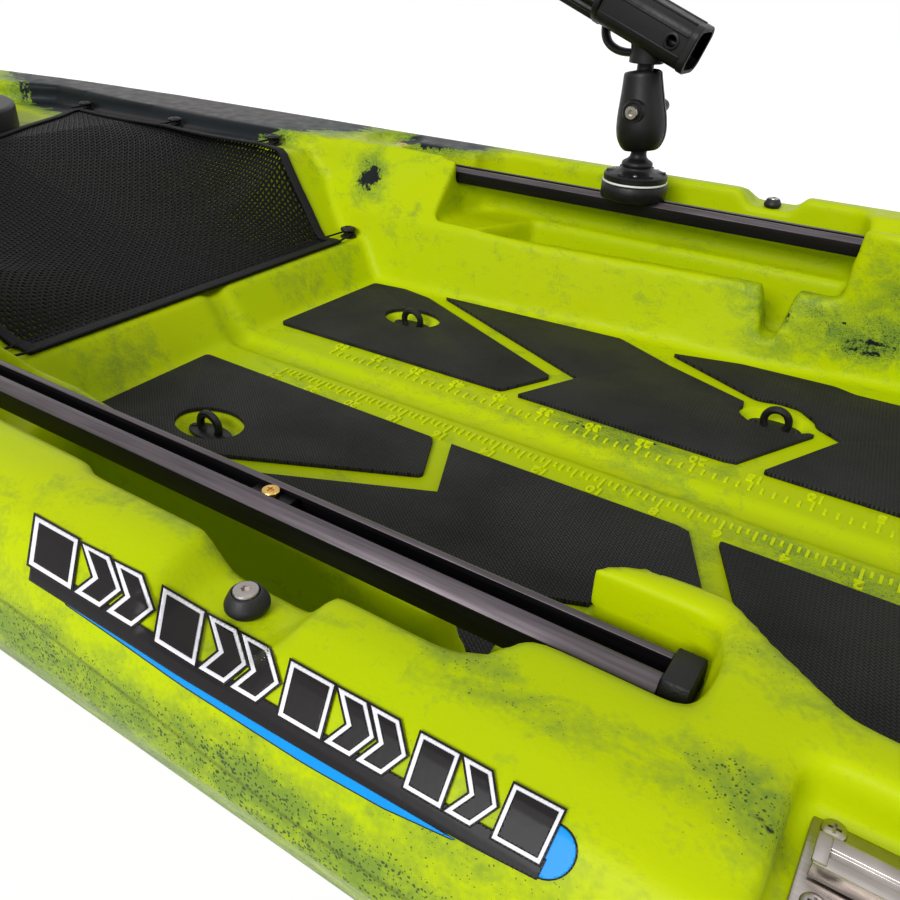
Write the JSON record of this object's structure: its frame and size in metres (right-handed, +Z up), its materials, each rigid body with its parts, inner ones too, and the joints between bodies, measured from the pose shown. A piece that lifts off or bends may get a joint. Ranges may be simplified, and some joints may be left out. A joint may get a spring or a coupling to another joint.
{
  "type": "fishing kayak",
  "caption": "Sit-on-top fishing kayak in two latched hull sections, with a bow hatch, mesh-covered well, gear tracks, a ball-mounted rod holder, foam deck pads and a framed folding seat.",
  "frame": {"origin": "on the ground plane under the boat's middle, half way between bow and stern", "axes": "+X towards the stern, +Y to starboard, +Z up"},
  "size_m": [3.76, 0.928, 0.7342],
  "materials": {
    "hull_plastic": "satin moulded polyethylene, lime with black speckle bands",
    "black_plastic": "satin black",
    "white_plastic": "satin white",
    "black_rubber": "matt black",
    "netting": "matt black elastic netting with a webbing hem",
    "deck_foam": "matt brushed closed-cell foam",
    "track_metal": "dark anodised",
    "seat_metal": "dark powder coated tube",
    "stainless": "bright stainless",
    "brass": "plain brass",
    "seat_fabric": "dark grey woven seat cloth over foam"
  },
  "bodies": {
    "boat": {"bow_hull": "hull_plastic", "stern_hull": "hull_plastic", "bow_hatch_ring": "black_plastic", "bow_hatch_seal": "black_rubber", "mesh_cover": "netting", "mesh_hook_port_1": "black_plastic", "mesh_hook_port_2": "black_plastic", "mesh_hook_port_3": "black_plastic", "mesh_hook_port_4": "black_plastic", "mesh_hook_starboard_1": "black_plastic", "mesh_hook_starboard_2": "black_plastic", "mesh_hook_starboard_3": "black_plastic", "mesh_hook_starboard_4": "black_plastic", "port_track": "track_metal", "port_track_cap": "black_plastic", "starboard_track": "track_metal", "starboard_track_cap": "black_plastic", "deck_pad_front_port": "deck_foam", "deck_pad_middle_port": "deck_foam", "deck_pad_rear_port": "deck_foam", "deck_pad_seat_port": "deck_foam", "deck_pad_front_starboard": "deck_foam", "deck_pad_middle_starboard": "deck_foam", "deck_pad_rear_starboard": "deck_foam", "deck_pad_seat_starboard": "deck_foam", "strap_eye_port_1": "black_plastic", "strap_eye_port_2": "black_plastic", "strap_eye_starboard_1": "black_plastic", "strap_eye_starboard_2": "black_plastic", "port_bumper": "black_rubber", "port_bumper_screw": "stainless", "starboard_bumper": "black_rubber", "starboard_bumper_screw": "stainless", "port_latch_base": "stainless", "port_latch_keeper": "stainless", "starboard_latch_base": "stainless", "starboard_latch_keeper": "stainless", "bow_handle": "black_plastic", "stern_handle": "black_plastic", "seat_base_frame": "seat_metal", "seat_pad": "seat_fabric"},
    "hatch_lid": {"bow_hatch_lid": "black_plastic"},
    "track_nut": {"port_track_nut": "brass"},
    "rod_slide_base": {"rod_base": "black_plastic", "rod_base_ring": "white_plastic"},
    "rod_stud": {"rod_ball_stud": "black_plastic"},
    "rod_arm": {"rod_arm_front": "black_plastic", "rod_arm_rear": "black_plastic", "rod_arm_bolt": "stainless"},
    "rod_knob": {"rod_arm_knob": "black_plastic"},
    "rod_tube": {"rod_holder_tube": "black_plastic"},
    "rod_collar": {"rod_holder_collar": "black_plastic"},
    "port_lever": {"port_latch_lever": "stainless"},
    "port_bail": {"port_latch_bail": "stainless"},
    "starboard_lever": {"starboard_latch_lever": "stainless"},
    "starboard_bail": {"starboard_latch_bail": "stainless"},
    "seat_back": {"seat_back_frame": "seat_metal", "seat_back_pad": "seat_fabric"},
    "plug": {"drain_plug": "black_plastic"}
  },
  "joints": [
    {"name": "hatch_turn", "type": "hinge", "parent": "boat", "child": "hatch_lid", "pos_m": [-1.36394, 0, 0.33], "axis": [0, 0, 1], "range_deg": [0, 90]},
    {"name": "nut_slide", "type": "slide", "parent": "boat", "child": "track_nut", "axis": [1, 0, 0], "range_m": [-0.39, 0.19]},
    {"name": "rod_slide", "type": "slide", "parent": "boat", "child": "rod_slide_base", "axis": [1, 0, 0], "range_m": [-0.185, 0.205]},
    {"name": "rod_swivel", "type": "hinge", "parent": "rod_slide_base", "child": "rod_stud", "pos_m": [-0.40495, 0.34601, 0.355], "axis": [0, 0, 1], "continuous": true},
    {"name": "rod_lower_tilt", "type": "hinge", "parent": "rod_stud", "child": "rod_arm", "pos_m": [-0.40495, 0.34601, 0.3951], "axis": [0, 1, 0], "range_deg": [-22, 35]},
    {"name": "rod_knob_turn", "type": "hinge", "parent": "rod_arm", "child": "rod_knob", "pos_m": [-0.40841, 0.38, 0.42329], "axis": [0, 1, 0], "range_deg": [0, 360]},
    {"name": "rod_upper_tilt", "type": "hinge", "parent": "rod_arm", "child": "rod_tube", "pos_m": [-0.41129, 0.34601, 0.44671], "axis": [0, 1, 0], "range_deg": [-20, 7]},
    {"name": "rod_collar_turn", "type": "hinge", "parent": "rod_tube", "child": "rod_collar", "pos_m": [-0.41129, 0.34601, 0.50771], "axis": [-0.9272, 0, 0.3746], "range_deg": [0, 60]},
    {"name": "port_lever_lift", "type": "hinge", "parent": "boat", "child": "port_lever", "pos_m": [0.004, -0.39399, 0.3283], "axis": [0, 1, 0], "range_deg": [0, 110]},
    {"name": "port_bail_lift", "type": "hinge", "parent": "port_lever", "child": "port_bail", "pos_m": [-0.008, -0.39399, 0.3283], "axis": [0, 1, 0], "range_deg": [-110, 0]},
    {"name": "starboard_lever_lift", "type": "hinge", "parent": "boat", "child": "starboard_lever", "pos_m": [0.004, 0.39399, 0.3283], "axis": [0, 1, 0], "range_deg": [0, 110]},
    {"name": "starboard_bail_lift", "type": "hinge", "parent": "starboard_lever", "child": "starboard_bail", "pos_m": [-0.008, 0.39399, 0.3283], "axis": [0, 1, 0], "range_deg": [-110, 0]},
    {"name": "seat_back_fold", "type": "hinge", "parent": "boat", "child": "seat_back", "pos_m": [0.5514, 0, 0.43], "axis": [0, 1, 0], "range_deg": [-100, 0]},
    {"name": "drain_plug_turn", "type": "hinge", "parent": "boat", "child": "plug", "pos_m": [1.6544, 0, 0.36], "axis": [0, 0, 1], "range_deg": [0, 360]}
  ],
  "couplings": [
    {"joint": "port_bail_lift", "follows": "port_lever_lift", "ratio": -1},
    {"joint": "starboard_bail_lift", "follows": "starboard_lever_lift", "ratio": -1}
  ]
}
